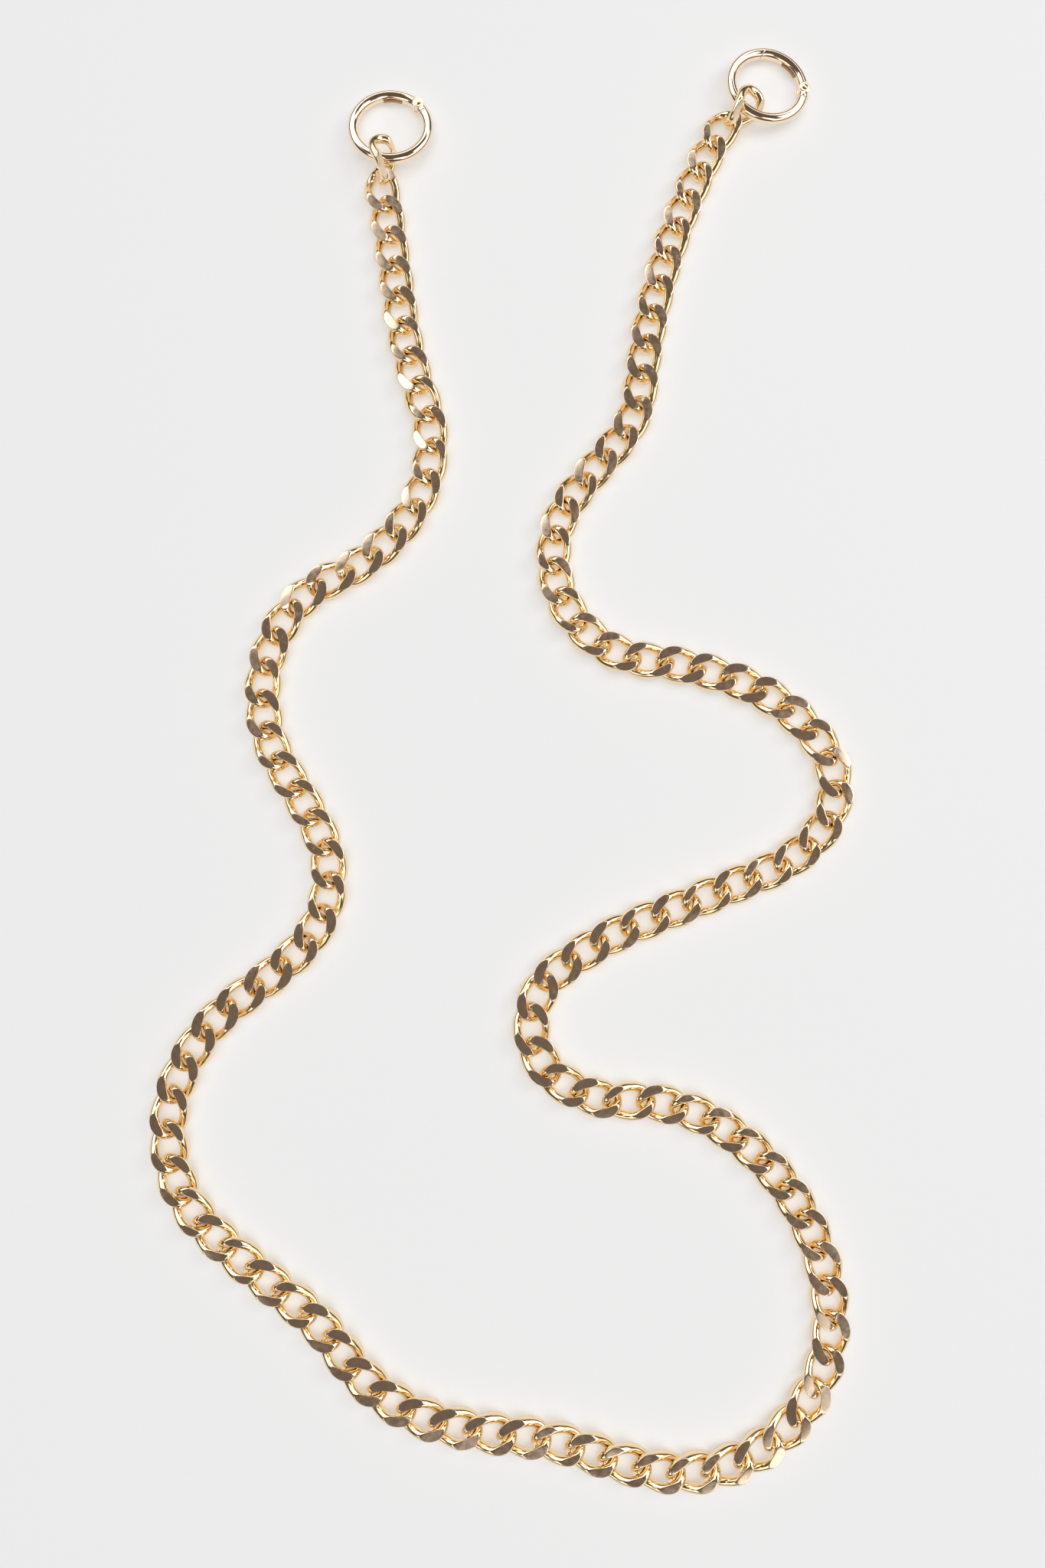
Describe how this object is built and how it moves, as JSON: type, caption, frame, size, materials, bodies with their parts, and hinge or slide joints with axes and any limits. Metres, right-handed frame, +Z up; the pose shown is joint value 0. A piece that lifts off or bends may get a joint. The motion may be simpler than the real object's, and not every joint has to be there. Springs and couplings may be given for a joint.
{
  "type": "chain necklace",
  "caption": "Long flat curb chain with a spring-gate ring at each end, lying in loose curves on a table.",
  "frame": {"origin": "middle of the whole laid-out chain's outline, on the table it lies on", "axes": "+Z up from the table, +Y along the loop towards the two ring ends, +X to the side of the ring_right end"},
  "size_m": [0.1942, 0.4085, 0.0101],
  "materials": {
    "link_plating": "polished pale gold plating, the flats lightly brushed",
    "ring_plating": "polished pale gold plating",
    "pin_plating": "polished pale gold plating",
    "spring_steel": "dark spring steel"
  },
  "bodies": {
    "links_01": {"links_01": "link_plating"},
    "links_02": {"links_02": "link_plating"},
    "links_03": {"links_03": "link_plating"},
    "links_04": {"links_04": "link_plating"},
    "links_05": {"links_05": "link_plating"},
    "links_06": {"links_06": "link_plating"},
    "links_07": {"links_07": "link_plating"},
    "links_08": {"links_08": "link_plating"},
    "links_09": {"links_09": "link_plating"},
    "links_10": {"links_10": "link_plating"},
    "links_11": {"links_11": "link_plating"},
    "links_12": {"links_12": "link_plating"},
    "links_13": {"links_13": "link_plating"},
    "links_14": {"links_14": "link_plating"},
    "links_15": {"links_15": "link_plating"},
    "links_16": {"links_16": "link_plating"},
    "links_17": {"links_17": "link_plating"},
    "links_18": {"links_18": "link_plating"},
    "links_19": {"links_19": "link_plating"},
    "links_20": {"links_20": "link_plating"},
    "links_21": {"links_21": "link_plating"},
    "links_22": {"links_22": "link_plating"},
    "links_23": {"links_23": "link_plating"},
    "links_24": {"links_24": "link_plating"},
    "links_25": {"links_25": "link_plating"},
    "links_26": {"links_26": "link_plating"},
    "links_27": {"links_27": "link_plating"},
    "links_28": {"links_28": "link_plating"},
    "links_29": {"links_29": "link_plating"},
    "links_30": {"links_30": "link_plating"},
    "links_31": {"links_31": "link_plating"},
    "links_32": {"links_32": "link_plating"},
    "links_33": {"links_33": "link_plating"},
    "links_34": {"links_34": "link_plating"},
    "links_35": {"links_35": "link_plating"},
    "links_36": {"links_36": "link_plating"},
    "links_37": {"links_37": "link_plating"},
    "links_38": {"links_38": "link_plating"},
    "links_39": {"links_39": "link_plating"},
    "links_40": {"links_40": "link_plating"},
    "links_41": {"links_41": "link_plating"},
    "links_42": {"links_42": "link_plating"},
    "links_43": {"links_43": "link_plating"},
    "links_44": {"links_44": "link_plating"},
    "links_45": {"links_45": "link_plating"},
    "links_46": {"links_46": "link_plating"},
    "links_47": {"links_47": "link_plating"},
    "links_48": {"links_48": "link_plating"},
    "links_49": {"links_49": "link_plating"},
    "links_50": {"links_50": "link_plating"},
    "ring_left": {"ring_left": "ring_plating", "gate_pin_left": "pin_plating"},
    "gate_left": {"gate_left": "ring_plating", "gate_spring_left": "spring_steel"},
    "ring_right": {"ring_right": "ring_plating", "gate_pin_right": "pin_plating"},
    "gate_right": {"gate_right": "ring_plating", "gate_spring_right": "spring_steel"}
  },
  "joints": [
    {"name": "links_01_drape", "type": "hinge", "parent": "links_02", "child": "links_01", "pos_m": [-0.03503, 0.15473, 0.0022], "axis": [0.9781, 0.2079, 0], "range_deg": [0, 20]},
    {"name": "links_02_swing", "type": "hinge", "parent": "links_03", "child": "links_02", "pos_m": [-0.03246, 0.13643, 0.0022], "axis": [0, 0, -1], "range_deg": [-28, 28]},
    {"name": "links_03_drape", "type": "hinge", "parent": "links_04", "child": "links_03", "pos_m": [-0.02989, 0.11813, 0.0022], "axis": [0.9903, 0.1392, 0], "range_deg": [0, 25]},
    {"name": "links_04_swing", "type": "hinge", "parent": "links_05", "child": "links_04", "pos_m": [-0.02226, 0.09153, 0.0022], "axis": [0, 0, 1], "range_deg": [-41, 14]},
    {"name": "links_05_swing", "type": "hinge", "parent": "links_06", "child": "links_05", "pos_m": [-0.02246, 0.07318, 0.0022], "axis": [0, 0, -1], "range_deg": [-14, 39]},
    {"name": "links_06_swing", "type": "hinge", "parent": "links_07", "child": "links_06", "pos_m": [-0.03111, 0.057, 0.0022], "axis": [0, 0, -1], "range_deg": [-17, 34]},
    {"name": "links_07_swing", "type": "hinge", "parent": "links_08", "child": "links_07", "pos_m": [-0.05375, 0.04154, 0.0022], "axis": [0, 0, 1], "range_deg": [-10, 45]},
    {"name": "links_08_swing", "type": "hinge", "parent": "links_09", "child": "links_08", "pos_m": [-0.06524, 0.02735, 0.0022], "axis": [0, 0, 1], "range_deg": [-15, 40]},
    {"name": "links_09_swing", "type": "hinge", "parent": "links_10", "child": "links_09", "pos_m": [-0.06868, 0.00931, 0.0022], "axis": [0, 0, -1], "range_deg": [-40, 15]},
    {"name": "links_10_swing", "type": "hinge", "parent": "links_11", "child": "links_10", "pos_m": [-0.05882, -0.0161, 0.0022], "axis": [0, 0, 1], "range_deg": [-16, 24]},
    {"name": "links_11_swing", "type": "hinge", "parent": "links_12", "child": "links_11", "pos_m": [-0.05015, -0.03241, 0.0022], "axis": [0, 0, -1], "range_deg": [-9, 14]},
    {"name": "links_12_swing", "type": "hinge", "parent": "links_13", "child": "links_12", "pos_m": [-0.05059, -0.05065, 0.0022], "axis": [0, 0, 1], "range_deg": [-12, 9]},
    {"name": "links_13_swing", "type": "hinge", "parent": "links_14", "child": "links_13", "pos_m": [-0.06897, -0.07087, 0.0022], "axis": [0, 0, -1], "range_deg": [-24, 10]},
    {"name": "links_14_swing", "type": "hinge", "parent": "links_15", "child": "links_14", "pos_m": [-0.08292, -0.08285, 0.0022], "axis": [0, 0, -1], "range_deg": [-39, 9]},
    {"name": "links_15_swing", "type": "hinge", "parent": "links_16", "child": "links_15", "pos_m": [-0.09118, -0.09929, 0.0022], "axis": [0, 0, 1], "range_deg": [-8, 42]},
    {"name": "links_16_swing", "type": "hinge", "parent": "links_17", "child": "links_16", "pos_m": [-0.08786, -0.12626, 0.0022], "axis": [0, 0, -1], "range_deg": [-42, 7]},
    {"name": "links_17_swing", "type": "hinge", "parent": "links_18", "child": "links_17", "pos_m": [-0.07559, -0.13989, 0.0022], "axis": [0, 0, 1], "range_deg": [-7, 29]},
    {"name": "links_18_swing", "type": "hinge", "parent": "links_19", "child": "links_18", "pos_m": [-0.06123, -0.15152, 0.0022], "axis": [0, 0, 1], "range_deg": [-7, 29]},
    {"name": "links_19_swing", "type": "hinge", "parent": "links_20", "child": "links_19", "pos_m": [-0.04194, -0.17114, 0.0022], "axis": [0, 0, -1], "range_deg": [-38, 6]},
    {"name": "links_20_swing", "type": "hinge", "parent": "links_21", "child": "links_20", "pos_m": [-0.02742, -0.18244, 0.0022], "axis": [0, 0, -1], "range_deg": [-38, 6]},
    {"name": "links_21_swing", "type": "hinge", "parent": "links_22", "child": "links_21", "pos_m": [-0.00977, -0.18762, 0.0022], "axis": [0, 0, 1], "range_deg": [-6, 30]},
    {"name": "links_22_swing", "type": "hinge", "parent": "links_23", "child": "links_22", "pos_m": [0.01756, -0.19204, 0.0022], "axis": [0, 0, 1], "range_deg": [-7, 21]},
    {"name": "links_23_swing", "type": "hinge", "parent": "links_24", "child": "links_23", "pos_m": [0.03517, -0.19759, 0.0022], "axis": [0, 0, 1], "range_deg": [-7, 33]},
    {"name": "links_24_swing", "type": "hinge", "parent": "links_25", "child": "links_24", "pos_m": [0.0535, -0.19869, 0.0022], "axis": [0, 0, 1], "range_deg": [-7, 41]},
    {"name": "links_26_swing", "type": "hinge", "parent": "links_25", "child": "links_26", "pos_m": [0.07723, -0.18533, 0.0022], "axis": [0, 0, -1], "range_deg": [-8, 41]},
    {"name": "links_27_swing", "type": "hinge", "parent": "links_26", "child": "links_27", "pos_m": [0.0858, -0.16909, 0.0022], "axis": [0, 0, 1], "range_deg": [-41, 9]},
    {"name": "links_28_swing", "type": "hinge", "parent": "links_27", "child": "links_28", "pos_m": [0.0863, -0.15074, 0.0022], "axis": [0, 0, 1], "range_deg": [-36, 10]},
    {"name": "links_29_swing", "type": "hinge", "parent": "links_28", "child": "links_29", "pos_m": [0.0806, -0.13321, 0.0022], "axis": [0, 0, 1], "range_deg": [-36, 11]},
    {"name": "links_30_swing", "type": "hinge", "parent": "links_29", "child": "links_30", "pos_m": [0.06305, -0.11204, 0.0022], "axis": [0, 0, -1], "range_deg": [-12, 36]},
    {"name": "links_31_swing", "type": "hinge", "parent": "links_30", "child": "links_31", "pos_m": [0.04671, -0.10359, 0.0022], "axis": [0, 0, 1], "range_deg": [-39, 12]},
    {"name": "links_32_swing", "type": "hinge", "parent": "links_31", "child": "links_32", "pos_m": [0.02838, -0.1021, 0.0022], "axis": [0, 0, 1], "range_deg": [-12, 11]},
    {"name": "links_33_swing", "type": "hinge", "parent": "links_32", "child": "links_33", "pos_m": [0.00678, -0.08703, 0.0022], "axis": [0, 0, 1], "range_deg": [0, 11]},
    {"name": "links_34_swing", "type": "hinge", "parent": "links_33", "child": "links_34", "pos_m": [0.0102, -0.06942, 0.0022], "axis": [0, 0, -1], "range_deg": [-13, 0]},
    {"name": "links_35_swing", "type": "hinge", "parent": "links_34", "child": "links_35", "pos_m": [0.02544, -0.05901, 0.0022], "axis": [0, 0, -1], "range_deg": [-15, 22]},
    {"name": "links_36_swing", "type": "hinge", "parent": "links_35", "child": "links_36", "pos_m": [0.05096, -0.04825, 0.0022], "axis": [0, 0, -1], "range_deg": [-19, 28]},
    {"name": "links_37_swing", "type": "hinge", "parent": "links_36", "child": "links_37", "pos_m": [0.06814, -0.04144, 0.0022], "axis": [0, 0, -1], "range_deg": [-20, 28]},
    {"name": "links_38_swing", "type": "hinge", "parent": "links_37", "child": "links_38", "pos_m": [0.08418, -0.03255, 0.0022], "axis": [0, 0, -1], "range_deg": [-14, 42]},
    {"name": "links_39_swing", "type": "hinge", "parent": "links_38", "child": "links_39", "pos_m": [0.09091, -0.00745, 0.0022], "axis": [0, 0, 1], "range_deg": [-45, 3]},
    {"name": "links_40_swing", "type": "hinge", "parent": "links_39", "child": "links_40", "pos_m": [0.07896, 0.00654, 0.0022], "axis": [0, 0, 1], "range_deg": [-39, 17]},
    {"name": "links_41_swing", "type": "hinge", "parent": "links_40", "child": "links_41", "pos_m": [0.06265, 0.01503, 0.0022], "axis": [0, 0, 1], "range_deg": [-33, 22]},
    {"name": "links_42_swing", "type": "hinge", "parent": "links_41", "child": "links_42", "pos_m": [0.03554, 0.02047, 0.0022], "axis": [0, 0, -1], "range_deg": [-27, 10]},
    {"name": "links_43_swing", "type": "hinge", "parent": "links_42", "child": "links_43", "pos_m": [0.02014, 0.03028, 0.0022], "axis": [0, 0, 1], "range_deg": [-10, 29]},
    {"name": "links_44_swing", "type": "hinge", "parent": "links_43", "child": "links_44", "pos_m": [0.01319, 0.04717, 0.0022], "axis": [0, 0, 1], "range_deg": [-10, 33]},
    {"name": "links_45_swing", "type": "hinge", "parent": "links_44", "child": "links_45", "pos_m": [0.02271, 0.07232, 0.0022], "axis": [0, 0, 1], "range_deg": [-26, 29]},
    {"name": "links_46_swing", "type": "hinge", "parent": "links_45", "child": "links_46", "pos_m": [0.03465, 0.08642, 0.0022], "axis": [0, 0, -1], "range_deg": [-10, 45]},
    {"name": "links_47_swing", "type": "hinge", "parent": "links_46", "child": "links_47", "pos_m": [0.0393, 0.10408, 0.0022], "axis": [0, 0, -1], "range_deg": [-30, 25]},
    {"name": "links_48_drape", "type": "hinge", "parent": "links_47", "child": "links_48", "pos_m": [0.04459, 0.13128, 0.0022], "axis": [0.9724, -0.2334, 0], "range_deg": [0, 25]},
    {"name": "links_49_swing", "type": "hinge", "parent": "links_48", "child": "links_49", "pos_m": [0.05007, 0.14892, 0.0022], "axis": [0, 0, -1], "range_deg": [-30, 25]},
    {"name": "links_50_drape", "type": "hinge", "parent": "links_49", "child": "links_50", "pos_m": [0.05706, 0.16602, 0.0022], "axis": [0.9171, -0.3987, 0], "range_deg": [0, 25]},
    {"name": "ring_left_hinge", "type": "hinge", "parent": "links_01", "child": "ring_left", "pos_m": [-0.03432, 0.16794, 0.005], "axis": [0.6971, -0.717, 0], "range_deg": [0, 50]},
    {"name": "gate_left_hinge", "type": "hinge", "parent": "ring_left", "child": "gate_left", "pos_m": [-0.02552, 0.18583, 0.00218], "axis": [0.0098, 0.1509, 0.9885], "range_deg": [0, 28], "stiffness_Nm_per_rad": 0.03, "springref_deg": -17.19},
    {"name": "ring_right_hinge", "type": "hinge", "parent": "links_50", "child": "ring_right", "pos_m": [0.06936, 0.18498, 0.00504], "axis": [0.6971, -0.717, 0], "range_deg": [0, 50]},
    {"name": "gate_right_hinge", "type": "hinge", "parent": "ring_right", "child": "gate_right", "pos_m": [0.0885, 0.19135, 0.00219], "axis": [0.1148, 0.1012, 0.9882], "range_deg": [0, 28], "stiffness_Nm_per_rad": 0.03, "springref_deg": -17.19}
  ]
}
